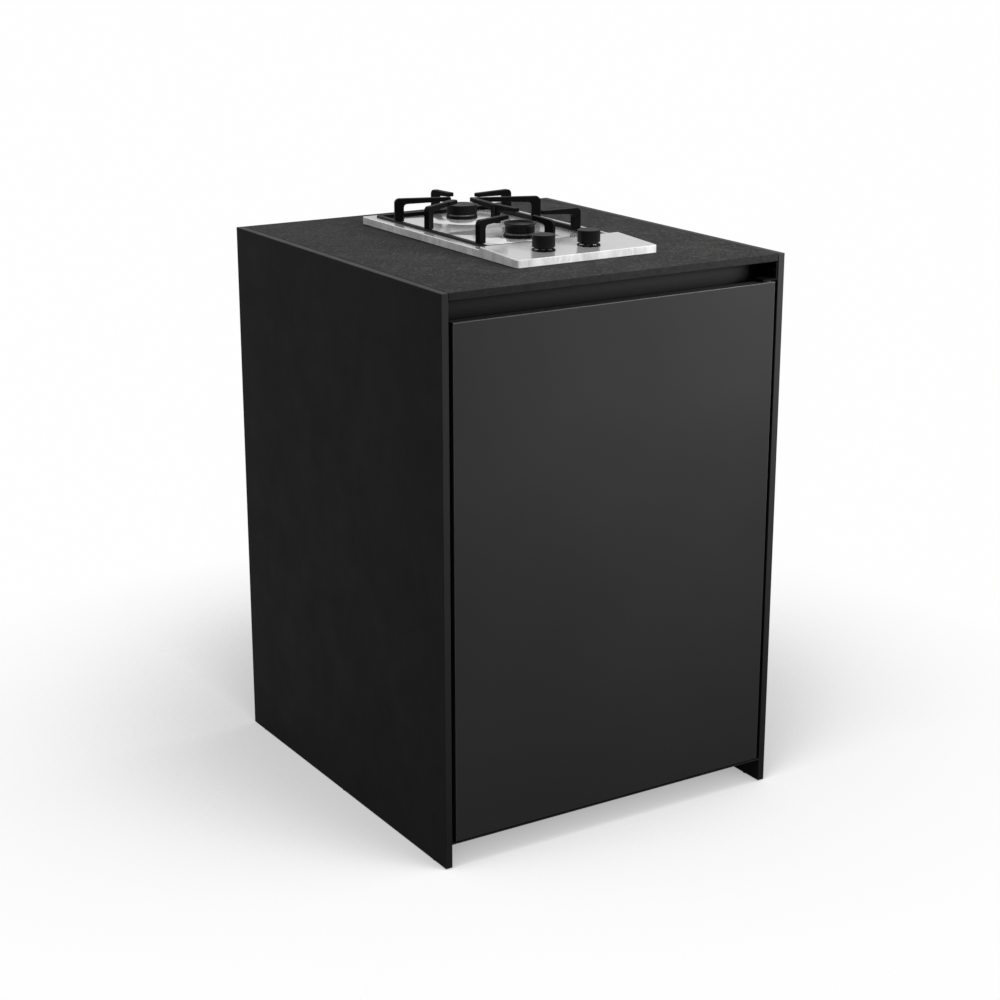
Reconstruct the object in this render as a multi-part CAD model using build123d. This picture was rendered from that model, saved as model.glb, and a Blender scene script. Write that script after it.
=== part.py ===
from build123d import *
import os
from math import atan2, cos, degrees, hypot, radians, sin

# Outdoor kitchen side burner module: a freestanding dark cabinet with one handleless door
# and a two-burner gas hob let into its stone worktop.
# Millimetres, +Z up, +X to the right of somebody facing the door, the front towards -Y.
# The origin is on the floor under the middle of the cabinet.

# Cabinet shell
WIDTH = 624.0
DEPTH = 680.0
HEIGHT = 900.0
PANEL = 12.0
WORKTOP = 12.0
GLIDE = 1.5
EDGE = 0.6
SLAB_EDGE = 1.0
JOINT = 0.2
FRONT = -DEPTH / 2
INNER = WIDTH / 2 - PANEL
TOP_LOW = HEIGHT - WORKTOP

# Cabinet floor and back, as heights and as distances behind the front plane
TRAY_LOW = 40.0
TRAY_SHEET = 2.0
TRAY_TOP = TRAY_LOW + TRAY_SHEET
FLOOR_TOP = TRAY_TOP + 10.0
FLOOR_FRONT = 26.0
BACK_SHEET = 4.0
BACK_FACE = DEPTH - 16.0
BACK_FRONT = BACK_FACE - BACK_SHEET
BACK_FLANGE = 26.0
HOSE_HOLE = (200.0, 150.0)
HOSE_HOLE_RADIUS = 22.0
GROMMET_BORE = 16.0

# Rails, finger recess and shelf
RAIL_DEPTH = 20.0
RAIL_HEIGHT = 40.0
RAIL_WALL = 2.0
RAIL_FRONT = 56.0
RAIL_REAR = 636.0
CHANNEL_SHEET = 2.0
CHANNEL_LIP = 25.0
CHANNEL_FLOOR = 820.0
CHANNEL_LIP_TOP = 834.0
CHANNEL_BEND = 14.0
SHELF_LOW = 640.0
SHELF_TOP = 652.0
SHELF_SPAN = (70.0, 630.0)

# Door
RECESS = 32.0
DOOR_GAP_LEFT = 7.0
DOOR_GAP_RIGHT = 5.0
DOOR_GAP_LOW = 1.5
DOOR_THICK = 20.0
DOOR_SHEET = 1.5
DOOR_EDGE = 1.2
DOOR_LEFT = -INNER + DOOR_GAP_LEFT
DOOR_RIGHT = INNER - DOOR_GAP_RIGHT
DOOR_LOW = TRAY_TOP + DOOR_GAP_LOW
DOOR_TOP = TOP_LOW - RECESS
PIVOT_X = DOOR_RIGHT - DOOR_THICK / 2
PIVOT_Y = FRONT + DOOR_THICK / 2
PIVOT_RADIUS = 4.0
BUSH_RADIUS = 7.0
BUSH_LENGTH = 26.0
RUNNING = 0.05

# Hob, in its own frame: origin on the worktop under the middle of its front edge, +Y to the back
HOB_X = 12.0
HOB_SETBACK = 105.0
HOB_WIDTH = 260.0
HOB_DEPTH = 490.0
HOB_CORNER = 5.0
HOB_SHEET = 1.0
SKIRT_GAP = 1.0
RIM = 13.0
RAMP_DEPTH = 107.0
RAMP_FOOT = 110.0
RAMP_TOP = 18.0
BAND = 16.0
WELL_FRONT = 112.0
WELL_MIDDLE = 292.0
WELL_BACK = HOB_DEPTH - BAND
WELL_SIDE = HOB_WIDTH / 2 - BAND
WELL_FLOOR = 9.0
WELL_CORNER = 8.0
DOME_RADIUS = 36.0
DOME_TOP = 14.0
DOME_INSET = 9.0
CUTOUT_INSET = 12.0
SEAL_TOP = 3.0
BOX_INSET = 14.0
BOX_FLANGE_INSET = 4.0
BOX_LOW = -52.0

# Burners, in the hob's frame
BURNERS = {"front": (-14.0, 175.0), "rear": (6.0, 388.0)}
CUP_RADIUS = 24.0
CUP_FLANGE = 26.4
CUP_BORE = 20.0
CUP_LOW = -16.0
CUP_TOP = DOME_TOP + 4.6
CROWN_RADIUS = 22.8
CROWN_FLOOR = CUP_TOP + 1.0
CROWN_TOP = CUP_TOP + 2.6
CAP_PLUG = 1.2
CAP_TOP = CROWN_TOP + 15.3
PORTS = 24
PROBE_ORBIT = 30.6
IGNITER_ANGLE = 62.0
THERMOCOUPLE_ANGLE = 32.0

# Knobs and valves, in the hob's frame
KNOBS = {"left": (-53.0, 46.0), "right": (31.0, 46.0)}
KNOB_RADIUS = 18.0
KNOB_TOP = 39.5
KNOB_LOW = 20.8
WAIST_RADIUS = 15.0
WAIST_LOW = 18.2
BEZEL_RADIUS = 18.5
BEZEL_BORE = 16.0
BEZEL_TOP = 16.8
STEM_RADIUS = 4.0
STEM_LOW = -18.0
STEM_TOP = 36.0
SHOULDER_LOW = 8.6
SEAT_LOW = 7.0
SEAT_TOP = 8.5
NECK_TOP = -1.0
VALVE_TOP = -6.0
VALVE_LOW = -36.0
VALVE_FRONT = 31.0
VALVE_BACK = 62.0
SPRING_WIRE = 0.45
SPRING_RADIUS = 6.6
SPRING_PITCH = 1.6

# Gas line, in the hob's frame
MANIFOLD_RADIUS = 6.0
MANIFOLD_Y = VALVE_FRONT - MANIFOLD_RADIUS
MANIFOLD_Z = -22.0
INLET = (95.0, 432.0)
INLET_THREAD_RADIUS = 10.48
INLET_LOW = -86.0
PIPE_RADIUS = 3.0
PIPE_Z = -30.0
LEAD_RADIUS = 1.2
LEAD_Z = -42.0

# Cast grate, in the hob's frame
GRATE_TOP = 52.0
BAR = 8.0
BAR_LOW = 10.0
BAR_TOP = 16.0
FINGER = 9.5
LEG = 15.5
LEG_LOW = 14.4
CENTRE_LEG_LOW = 21.0
ARM = 9.5
OUTER_BEND = 8.0
INNER_BEND = 6.0
CAST_EDGE = 1.2
GRATE_GAP = 0.5
GRATE_SIDE = WELL_SIDE - GRATE_GAP
GRATE_FRONT = WELL_FRONT + GRATE_GAP
GRATE_BACK = WELL_BACK - GRATE_GAP

HOB_PLACE = Pos(HOB_X, FRONT + HOB_SETBACK, HEIGHT)


# Building helpers

def span(low, high):
    """Two limits in rising order."""
    return (min(low, high), max(low, high))


def behind(near, far):
    """Y limits of something that lies between two distances behind the front plane."""
    return (FRONT + near, FRONT + far)


def block(x, y, z):
    """A box between its limits along each axis."""
    size = [high - low for low, high in (x, y, z)]
    middle = [(high + low) / 2 for low, high in (x, y, z)]
    return Pos(*middle) * Box(*size)


def rod(x, y, z, radius):
    """An upright cylinder between two heights."""
    return Pos(x, y, (z[0] + z[1]) / 2) * Cylinder(radius, z[1] - z[0])


def rod_x(x, y, z, radius):
    """A cylinder along X between two places."""
    return Pos((x[0] + x[1]) / 2, y, z) * Rot(0, 90, 0) * Cylinder(radius, x[1] - x[0])


def rod_y(x, y, z, radius):
    """A cylinder along Y between two places."""
    return Pos(x, (y[0] + y[1]) / 2, z) * Rot(90, 0, 0) * Cylinder(radius, y[1] - y[0])


def rounded(width, depth, radius, z):
    """An upright block with rounded corners, its middle on the local origin."""
    return Pos(0, 0, z[0]) * extrude(RectangleRounded(width, depth, radius), z[1] - z[0])


def turned(outline):
    """A solid of revolution about the local Z axis from (radius, height) points."""
    return revolve(Plane.XZ * make_face(Polyline(*outline, close=True)), Axis.Z)


def bar_along(points, radius, bends):
    """A round bar along straight runs joined by arcs."""
    path = FilletPolyline(*points, radius=bends)
    return sweep((path ^ 0) * Circle(radius), path=path)


def pan_screw(radius, length):
    """A pan-head screw on the local origin, its head up and its shank down."""
    head = rod(0, 0, (0, radius), 2 * radius)
    head = chamfer(head.edges().group_by(Axis.Z)[-1], radius / 2)
    return head + rod(0, 0, (-length, 0), radius)


def save(name, *solids):
    """Write one node to its own file, in the module's frame."""
    shape = solids[0] if len(solids) == 1 else Compound(list(solids))
    export_step(shape, f"parts/{name}.step")


def save_on_hob(name, *solids):
    """Write one node that is drawn in the hob's frame."""
    save(name, *[HOB_PLACE * solid for solid in solids])


# Angle brackets that hold the floor board and the rails to the side panels

BRACKET = 30.0
BRACKET_SHEET = 3.0
BRACKET_SCREW_AT = 18.0
SCREW_RADIUS = 2.0
SCREW_BITE = 6.0
BOARD_BRACKETS = (90.0, 590.0)
RAIL_BRACKETS = (
    (RAIL_FRONT, TOP_LOW - CHANNEL_SHEET - RAIL_HEIGHT),
    (RAIL_REAR, TOP_LOW - RAIL_HEIGHT),
)


def bracket_places():
    """Side, middle distance, half length, height and up or down for each angle bracket."""
    for side in (-1, 1):
        for distance in BOARD_BRACKETS:
            yield side, FRONT + distance, 20.0, FLOOR_TOP, 1
        for distance, height in RAIL_BRACKETS:
            yield side, FRONT + distance + RAIL_DEPTH / 2, RAIL_DEPTH / 2, height, -1


def bracket_pilots(depth):
    """Holes for the bracket screws, from each bracket's outer faces to a depth past its legs."""
    for side, y, half, height, way in bracket_places():
        panel_reach = span(side * (INNER - BRACKET_SHEET), side * (INNER + depth))
        yield rod_x(panel_reach, y, height + way * BRACKET_SCREW_AT, SCREW_RADIUS)
        board_reach = span(height + way * BRACKET_SHEET, height - way * depth)
        yield rod(side * (INNER - BRACKET_SCREW_AT), y, board_reach, SCREW_RADIUS)


def corner_brackets():
    """Eight bent angle brackets."""
    brackets = []
    for side, y, half, height, way in bracket_places():
        reach = span(side * (INNER - BRACKET), side * INNER)
        leg = span(side * (INNER - BRACKET_SHEET), side * INNER)
        flat = block(reach, (y - half, y + half), span(height, height + way * BRACKET_SHEET))
        upright = block(leg, (y - half, y + half), span(height, height + way * BRACKET))
        brackets.append(flat + upright)
    holes = Compound(list(bracket_pilots(SCREW_BITE)))
    return [piece - holes for piece in brackets]


def bracket_screws():
    """Two screws for each bracket: one into the side panel, one into the board or rail."""
    screw = pan_screw(SCREW_RADIUS, BRACKET_SHEET + SCREW_BITE - 1)
    screws = []
    for side, y, half, height, way in bracket_places():
        at_panel = Pos(side * (INNER - BRACKET_SHEET), y, height + way * BRACKET_SCREW_AT)
        at_board = Pos(side * (INNER - BRACKET_SCREW_AT), y, height + way * BRACKET_SHEET)
        screws.append(at_panel * Rot(0, -90 * side, 0) * screw)
        screws.append(at_board * Rot(90 - 90 * way, 0, 0) * screw)
    return screws


# Cabinet shell

GLIDE_PLACES = (40.0, 340.0, 640.0)
GLIDE_RADIUS = 5.0
GLIDE_STEM = 2.5
GLIDE_STEM_TOP = 13.0
PIN_PLACES = (110.0, 590.0)
PIN_RADIUS = 2.5
PIN_DEPTH = 8.0
PIN_REACH = 12.0
HINGE_SCREW_PLACES = (7.0, 18.0)
HINGE_SCREW_Z = 874.0
CATCH_LOW = 764.0
CATCH_TOP = 812.0
CATCH_FRONT = 21.8
CATCH_BACK = 62.0
CATCH_WIDTH = 30.0
SMALL_SCREW = 1.5
BACK_SCREWS_X = (-250.0, 0.0, 250.0)
BACK_SCREW_LOW = 58.0
BACK_SCREW_HIGH = 868.0
VENT_COUNT = 6
VENT_PITCH = 74.0
VENT_LENGTH = 54.0
VENT_WIDTH = 8.0
VENT_ROWS = (96.0, 800.0)


def side_panel(side):
    """One side panel, from the floor to the worktop, bored for its fixings."""
    panel = block(span(side * INNER, side * WIDTH / 2), behind(0, DEPTH), (GLIDE, HEIGHT))
    panel = chamfer(panel.edges(), EDGE)
    middle = side * (INNER + PANEL / 2)
    for distance in GLIDE_PLACES:
        panel -= rod(middle, FRONT + distance, (GLIDE, GLIDE_STEM_TOP + 1), GLIDE_STEM)
    for distance in PIN_PLACES:
        bore = span(side * INNER, side * (INNER + PIN_DEPTH))
        panel -= rod_x(bore, FRONT + distance, SHELF_LOW - PIN_RADIUS, PIN_RADIUS)
    small_bore = span(side * INNER, side * (INNER + SCREW_BITE))
    if side > 0:
        for distance in HINGE_SCREW_PLACES:
            panel -= rod_x(small_bore, FRONT + distance, HINGE_SCREW_Z, SMALL_SCREW)
    else:
        for distance, z in catch_screw_places():
            panel -= rod_x(small_bore, FRONT + distance, z, SMALL_SCREW)
    return panel - Compound(list(bracket_pilots(SCREW_BITE)))


def floor_glides():
    """Nylon glides pressed into the lower edges of the side panels."""
    glides = []
    for side in (-1, 1):
        x = side * (INNER + PANEL / 2)
        for distance in GLIDE_PLACES:
            disc = rod(x, FRONT + distance, (0, GLIDE), GLIDE_RADIUS)
            stem = rod(x, FRONT + distance, (GLIDE, GLIDE_STEM_TOP), GLIDE_STEM)
            glides.append(disc + stem)
    return glides


def worktop():
    """The stone slab between the side panels, with the hob's cut-out."""
    slab = block((-INNER + JOINT, INNER - JOINT), behind(0, DEPTH), (TOP_LOW, HEIGHT))
    slab = chamfer(slab.edges(), SLAB_EDGE)
    width = HOB_WIDTH - 2 * CUTOUT_INSET
    depth = HOB_DEPTH - 2 * CUTOUT_INSET
    cutout = rounded(width, depth, WELL_CORNER, (-WORKTOP - 1, 1))
    return slab - HOB_PLACE * Pos(0, HOB_DEPTH / 2) * cutout


def base_tray():
    """Folded sheet under the cabinet floor; its front edge shows as a line under the door."""
    sheet = block((-INNER, INNER), behind(0, BACK_FRONT), (TRAY_LOW, TRAY_TOP))
    flange_depth = behind(BACK_FRONT - TRAY_SHEET, BACK_FRONT)
    tray = sheet + block((-INNER, INNER), flange_depth, (TRAY_LOW, TRAY_LOW + BACK_FLANGE))
    tray -= rod(PIVOT_X, PIVOT_Y, (TRAY_LOW, TRAY_TOP), PIVOT_RADIUS)
    for x in BACK_SCREWS_X:
        tray -= rod_y(x, flange_depth, BACK_SCREW_LOW, SCREW_RADIUS)
    return tray


def base_panel():
    """The floor board, lying on the tray behind the door."""
    board = block((-INNER, INNER), behind(FLOOR_FRONT, BACK_FRONT - 10), (TRAY_TOP, FLOOR_TOP))
    return board - Compound(list(bracket_pilots(SCREW_BITE)))


def back_panel():
    """The back sheet with its vent slots and the hole for the gas hose."""
    sheet = block((-INNER, INNER), behind(BACK_FRONT, BACK_FACE), (TRAY_LOW, TOP_LOW))
    slot = extrude(Plane.XZ * SlotOverall(VENT_LENGTH, VENT_WIDTH), BACK_SHEET * 2, both=True)
    for row in VENT_ROWS:
        for number in range(VENT_COUNT):
            x = (number - (VENT_COUNT - 1) / 2) * VENT_PITCH
            sheet -= Pos(x, FRONT + BACK_FRONT, row) * slot
    sheet -= rod_y(HOSE_HOLE[0], behind(BACK_FRONT, BACK_FACE), HOSE_HOLE[1], HOSE_HOLE_RADIUS)
    for x in BACK_SCREWS_X:
        for z in (BACK_SCREW_LOW, BACK_SCREW_HIGH):
            sheet -= rod_y(x, behind(BACK_FRONT, BACK_FACE), z, SCREW_RADIUS)
    return sheet


def back_screws():
    """Screws that hold the back sheet to the tray's flange and to the rear rail."""
    screws = []
    for x in BACK_SCREWS_X:
        for z, length in ((BACK_SCREW_LOW, 8.0), (BACK_SCREW_HIGH, 11.0)):
            place = Pos(x, FRONT + BACK_FACE, z) * Rot(-90, 0, 0)
            screws.append(place * pan_screw(SCREW_RADIUS, length))
    return screws


def hose_grommet():
    """Rubber grommet that lines the hose hole, with a lip on each face of the back sheet."""
    x, z = HOSE_HOLE
    lip = 3.0
    wide = HOSE_HOLE_RADIUS + 5
    grommet = rod_y(x, behind(BACK_FRONT, BACK_FACE), z, HOSE_HOLE_RADIUS)
    for near in (BACK_FRONT - lip, BACK_FACE):
        ring = rod_y(x, behind(near, near + lip), z, wide)
        grommet += fillet(ring.edges(), 1.2)
    return grommet - rod_y(x, behind(BACK_FRONT - lip, BACK_FACE + lip), z, GROMMET_BORE)


def rail(near, low):
    """A box-section rail across the cabinet, open at its ends."""
    tube = block((-INNER, INNER), behind(near, near + RAIL_DEPTH), (low, low + RAIL_HEIGHT))
    tube = fillet(tube.edges().filter_by(Axis.X), RAIL_WALL)
    hollow = behind(near + RAIL_WALL, near + RAIL_DEPTH - RAIL_WALL)
    tube -= block((-INNER, INNER), hollow, (low + RAIL_WALL, low + RAIL_HEIGHT - RAIL_WALL))
    return tube - Compound(list(bracket_pilots(SCREW_BITE)))


def rear_rail():
    """The rear rail, with a fin that carries the top edge of the back sheet."""
    low = TOP_LOW - RAIL_HEIGHT
    fin = block((-INNER, INNER), behind(RAIL_REAR + RAIL_DEPTH, BACK_FRONT), (low, TOP_LOW))
    tube = rail(RAIL_REAR, low) + fin
    for x in BACK_SCREWS_X:
        tube -= rod_y(x, behind(BACK_FRONT - 8, BACK_FRONT), BACK_SCREW_HIGH, SCREW_RADIUS)
    return tube


def grip_channel():
    """The J-shaped profile behind the door's top edge that leaves room for fingers."""
    half = CHANNEL_SHEET / 2
    path = FilletPolyline(
        (FRONT + RAIL_FRONT + RAIL_DEPTH, TOP_LOW - half),
        (FRONT + RAIL_FRONT - half, TOP_LOW - half),
        (FRONT + RAIL_FRONT - half, CHANNEL_FLOOR + half),
        (FRONT + CHANNEL_LIP + half, CHANNEL_FLOOR + half),
        (FRONT + CHANNEL_LIP + half, CHANNEL_LIP_TOP),
        radius=[2 * half, CHANNEL_BEND, CHANNEL_SHEET],
    )
    return extrude(Plane.YZ * trace(path, line_width=CHANNEL_SHEET), INNER, both=True)


def worktop_cleats():
    """Angles along the side panels that carry the worktop's edges."""
    cleats = []
    for side in (-1, 1):
        reach = behind(RAIL_FRONT + RAIL_DEPTH + 14, RAIL_REAR - 16)
        flat = block(span(side * (INNER - 20), side * INNER), reach, (TOP_LOW - 3, TOP_LOW))
        leg = block(span(side * (INNER - 3), side * INNER), reach, (TOP_LOW - 24, TOP_LOW))
        cleats.append(flat + leg)
    return cleats


def shelf():
    """The loose shelf above the space for a gas bottle."""
    board = block((-INNER + 2, INNER - 2), behind(*SHELF_SPAN), (SHELF_LOW, SHELF_TOP))
    return chamfer(board.edges(), EDGE)


def shelf_pins():
    """Four pins in the side panels that the shelf lies on."""
    pins = []
    for side in (-1, 1):
        for distance in PIN_PLACES:
            reach = span(side * (INNER - PIN_REACH), side * (INNER + PIN_DEPTH - 1))
            pins.append(rod_x(reach, FRONT + distance, SHELF_LOW - PIN_RADIUS, PIN_RADIUS))
    return pins


def catch_screw_places():
    """Distance and height of the two screws of the magnetic catch."""
    return ((CATCH_BACK - 8, CATCH_LOW + 8), (CATCH_BACK - 8, CATCH_TOP - 8))


def magnet_catch():
    """Moulded catch body on the left side panel, pocketed for its magnet."""
    reach = (-INNER, -INNER + CATCH_WIDTH)
    body = block(reach, behind(CATCH_FRONT, CATCH_BACK - 16), (CATCH_LOW, CATCH_TOP))
    body += block((-INNER, -INNER + 4), behind(CATCH_FRONT, CATCH_BACK), (CATCH_LOW, CATCH_TOP))
    for distance, z in catch_screw_places():
        body -= rod_x((-INNER, -INNER + 4), FRONT + distance, z, SMALL_SCREW)
    return body - catch_magnet()


def catch_magnet():
    """The magnet that holds the closed door."""
    reach = (-INNER + 10, -INNER + CATCH_WIDTH - 4)
    return block(reach, behind(CATCH_FRONT, CATCH_FRONT + 8), (CATCH_LOW + 8, CATCH_TOP - 8))


def catch_screws():
    """Screws of the magnetic catch."""
    screw = pan_screw(SMALL_SCREW, 4 + SCREW_BITE - 1)
    return [
        Pos(-INNER + 4, FRONT + distance, z) * Rot(0, 90, 0) * screw
        for distance, z in catch_screw_places()
    ]


def door_buffers():
    """Rubber buffers on the floor board's front edge that the closed door meets."""
    return [
        rod_y(x, behind(DOOR_THICK + 0.3, FLOOR_FRONT), (TRAY_TOP + FLOOR_TOP) / 2 + 1, 3.5)
        for x in (DOOR_LEFT + 25, 0.0)
    ]


# Door hinge: fixed pins above and below, bushes in the door

HINGE_SHEET = 3.0
WASHER_RADIUS = 8.0
HINGE_TAB_LOW = DOOR_TOP + 2.0


def hinge_bracket():
    """The plate on the right side panel that holds the upper pivot pin."""
    reach = behind(1.5, 23.5)
    tab = block((PIVOT_X - 13, INNER), reach, (HINGE_TAB_LOW, HINGE_TAB_LOW + HINGE_SHEET))
    leg = block((INNER - HINGE_SHEET, INNER), reach, (HINGE_TAB_LOW, TOP_LOW - CHANNEL_SHEET))
    plate = tab + leg
    plate -= rod(PIVOT_X, PIVOT_Y, (HINGE_TAB_LOW, HINGE_TAB_LOW + HINGE_SHEET), PIVOT_RADIUS)
    for distance in HINGE_SCREW_PLACES:
        plate -= rod_x((INNER - HINGE_SHEET, INNER), FRONT + distance, HINGE_SCREW_Z, SMALL_SCREW)
    return plate


def hinge_screws():
    """Screws of the upper hinge plate."""
    screw = pan_screw(SMALL_SCREW, HINGE_SHEET + SCREW_BITE - 1)
    return [
        Pos(INNER - HINGE_SHEET, FRONT + distance, HINGE_SCREW_Z) * Rot(0, -90, 0) * screw
        for distance in HINGE_SCREW_PLACES
    ]


def pivot_pins():
    """The fixed pins that the door turns on."""
    low = rod(PIVOT_X, PIVOT_Y, (TRAY_LOW, DOOR_LOW + BUSH_LENGTH - 2), PIVOT_RADIUS)
    high = rod(PIVOT_X, PIVOT_Y, (DOOR_TOP - BUSH_LENGTH + 2, HINGE_TAB_LOW + HINGE_SHEET), PIVOT_RADIUS)
    return [low, high]


def pivot_washers():
    """Slip washers under and over the door."""
    washers = []
    for low, high in ((TRAY_TOP, DOOR_LOW - 0.1), (DOOR_TOP + 0.1, HINGE_TAB_LOW)):
        washer = rod(PIVOT_X, PIVOT_Y, (low, high), WASHER_RADIUS)
        washers.append(washer - rod(PIVOT_X, PIVOT_Y, (low, high), PIVOT_RADIUS))
    return washers


def bush_seats(radius):
    """The bush spaces at the two ends of the door's pivot axis."""
    return [
        rod(PIVOT_X, PIVOT_Y, (DOOR_LOW, DOOR_LOW + BUSH_LENGTH), radius),
        rod(PIVOT_X, PIVOT_Y, (DOOR_TOP - BUSH_LENGTH, DOOR_TOP), radius),
    ]


def door_skin():
    """The door's outer sheet with its edges folded back."""
    skin = block((DOOR_LEFT, DOOR_RIGHT), behind(0, DOOR_THICK), (DOOR_LOW, DOOR_TOP))
    front_edges = skin.faces().sort_by(Axis.Y)[0].edges()
    skin = fillet(front_edges, DOOR_EDGE)
    across = (DOOR_LEFT + DOOR_SHEET, DOOR_RIGHT - DOOR_SHEET)
    upright = (DOOR_LOW + DOOR_SHEET, DOOR_TOP - DOOR_SHEET)
    skin -= block(across, behind(DOOR_SHEET, DOOR_THICK), upright)
    return skin - Compound(bush_seats(BUSH_RADIUS))


def door_filling(near, far):
    """A layer that fills the door's folded skin between two depths."""
    across = (DOOR_LEFT + DOOR_SHEET, DOOR_RIGHT - DOOR_SHEET)
    upright = (DOOR_LOW + DOOR_SHEET, DOOR_TOP - DOOR_SHEET)
    return block(across, behind(near, far), upright) - Compound(bush_seats(BUSH_RADIUS))


def door_bushes():
    """Nylon bushes pressed into the door's ends."""
    bores = Compound(bush_seats(PIVOT_RADIUS + RUNNING))
    return [seat - bores for seat in bush_seats(BUSH_RADIUS)]


def strike_plate():
    """The steel plate on the door's back that meets the magnet."""
    reach = (-INNER + 9, -INNER + CATCH_WIDTH - 2)
    plate = block(reach, behind(DOOR_THICK, DOOR_THICK + 1.5), (CATCH_LOW + 5, CATCH_TOP - 5))
    return fillet(plate.edges().filter_by(Axis.Y), 2.0)


# Hob sheet

def hob_outline(inset, low, high):
    """The hob's rounded outline as a solid, drawn in by a sheet thickness."""
    outline = rounded(HOB_WIDTH - 2 * inset, HOB_DEPTH - 2 * inset, HOB_CORNER - inset, (low, high))
    return Pos(0, HOB_DEPTH / 2) * outline


def control_ramp(inset, low):
    """The control panel's gentle rise from the front edge to its step down to the well."""
    ramp = Polyline(
        (inset, low),
        (inset, RIM - inset),
        (RAMP_DEPTH - inset, RAMP_TOP - inset),
        (RAMP_FOOT - inset, RIM - inset),
        (RAMP_FOOT - inset, low),
        close=True,
    )
    solid = extrude(Plane.YZ * make_face(ramp), HOB_WIDTH / 2 - inset, both=True)
    return solid & hob_outline(inset, low, RAMP_TOP)


def outer_top_edges(form):
    """The upper edges along the hob's outline."""
    side = HOB_WIDTH / 2 - HOB_CORNER - 0.1

    def is_outer(edge):
        x, y, z = edge.center()
        past = abs(x) > side or y < HOB_CORNER or y > HOB_DEPTH - HOB_CORNER
        return past and z > RIM - 0.1 and edge.bounding_box().size.Z < RAMP_TOP - RIM + 0.1

    return form.edges().filter_by(is_outer)


def burner_dome(name, inset):
    """The rise of the well's floor from its rectangular edge to the round burner seat."""
    near, far = WELL_FRONT + DOME_INSET, WELL_MIDDLE
    if name == "rear":
        near, far = WELL_MIDDLE, WELL_BACK - DOME_INSET
    width = 2 * (WELL_SIDE - DOME_INSET)
    edge = Pos(0, (near + far) / 2, WELL_FLOOR - inset) * Rectangle(width, far - near)
    seat = Pos(*BURNERS[name], DOME_TOP - inset) * Circle(DOME_RADIUS)
    return loft([edge, seat], ruled=True)


def hob_form(inset, low):
    """The hob's pressed shape as a solid, drawn in by a sheet thickness."""
    form = hob_outline(inset, low, RIM - inset)
    form += control_ramp(inset, low)
    if inset == 0:
        form = fillet(outer_top_edges(form), 1.0)
    depth = WELL_BACK - WELL_FRONT + 2 * inset
    well = rounded(2 * (WELL_SIDE + inset), depth, WELL_CORNER + inset, (WELL_FLOOR - inset, RAMP_TOP))
    form -= Pos(0, (WELL_BACK + WELL_FRONT) / 2) * well
    for name in BURNERS:
        form += burner_dome(name, inset)
    return form


def probe_place(name, angle):
    """Where a spark electrode or thermocouple stands beside a burner."""
    x, y = BURNERS[name]
    return x + PROBE_ORBIT * cos(radians(angle)), y + PROBE_ORBIT * sin(radians(angle))


def hob_top():
    """The pressed stainless sheet with its holes."""
    sheet = hob_form(0, SKIRT_GAP) - hob_form(HOB_SHEET, -1)
    for name, (x, y) in BURNERS.items():
        sheet -= rod(x, y, (0, RAMP_TOP), CUP_RADIUS + 0.3)
        sheet -= rod(*probe_place(name, IGNITER_ANGLE), (0, RAMP_TOP), 2.8)
        sheet -= rod(*probe_place(name, THERMOCOUPLE_ANGLE), (0, RAMP_TOP), 2.0)
    for x, y in KNOBS.values():
        sheet -= rod(x, y, (0, RAMP_TOP), 7.5)
    return sheet


def hob_seal():
    """The foam strip between the worktop and the hob's underbox flange."""
    outer = rounded(HOB_WIDTH - 8, HOB_DEPTH - 8, 4.0, (0, SEAL_TOP))
    inner = rounded(HOB_WIDTH - 24, HOB_DEPTH - 24, 4.0, (0, SEAL_TOP))
    return Pos(0, HOB_DEPTH / 2) * (outer - inner)


def underbox_vents():
    """Slots in the underbox floor that let combustion air in."""
    slot = extrude(SlotOverall(40, 6), 4, both=True)
    return [Pos(x, y, BOX_LOW) * slot for x in (-60, 0, 60) for y in (110, 290, 470)]


def underbox():
    """The folded steel box that closes the hob below the worktop."""
    sheet = HOB_SHEET
    width = HOB_WIDTH - 2 * BOX_INSET
    depth = HOB_DEPTH - 2 * BOX_INSET
    flange_width = HOB_WIDTH - 2 * BOX_FLANGE_INSET
    flange_depth = HOB_DEPTH - 2 * BOX_FLANGE_INSET
    box = rounded(width, depth, 6.0, (BOX_LOW, SEAL_TOP + sheet))
    box += rounded(flange_width, flange_depth, 4.0, (SEAL_TOP, SEAL_TOP + sheet))
    box -= rounded(width - 2 * sheet, depth - 2 * sheet, 5.0, (BOX_LOW + sheet, SEAL_TOP + sheet))
    box = Pos(0, HOB_DEPTH / 2) * box
    box -= rod(*INLET, (BOX_LOW - 1, BOX_LOW + 2), INLET_THREAD_RADIUS + 0.5)
    for vent in underbox_vents():
        box -= vent
    return box


CLAMP_PLACES = (90.0, 400.0)
CLAMP_SCREW = 2.5
CLAMP_REACH = 22.0
CLAMP_LOW = -24.0


def clamp_sides():
    """Side and place of each clamp that grips the worktop from below."""
    return [(side, y) for side in (-1, 1) for y in CLAMP_PLACES]


def hob_clamps():
    """Bent clamps on the underbox's walls."""
    clamps = []
    wall = HOB_WIDTH / 2 - BOX_INSET
    for side, y in clamp_sides():
        leg = block(span(side * wall, side * (wall + 1.5)), (y - 10, y + 10), (-46, -14))
        arm_reach = span(side * wall, side * (wall + CLAMP_REACH))
        arm_height = (CLAMP_LOW - 2, CLAMP_LOW)
        arm = block(arm_reach, (y - 10, y + 10), arm_height)
        screw_x = side * (wall + CLAMP_REACH - 7)
        clamps.append(leg + arm - rod(screw_x, y, arm_height, CLAMP_SCREW))
    return clamps


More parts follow.
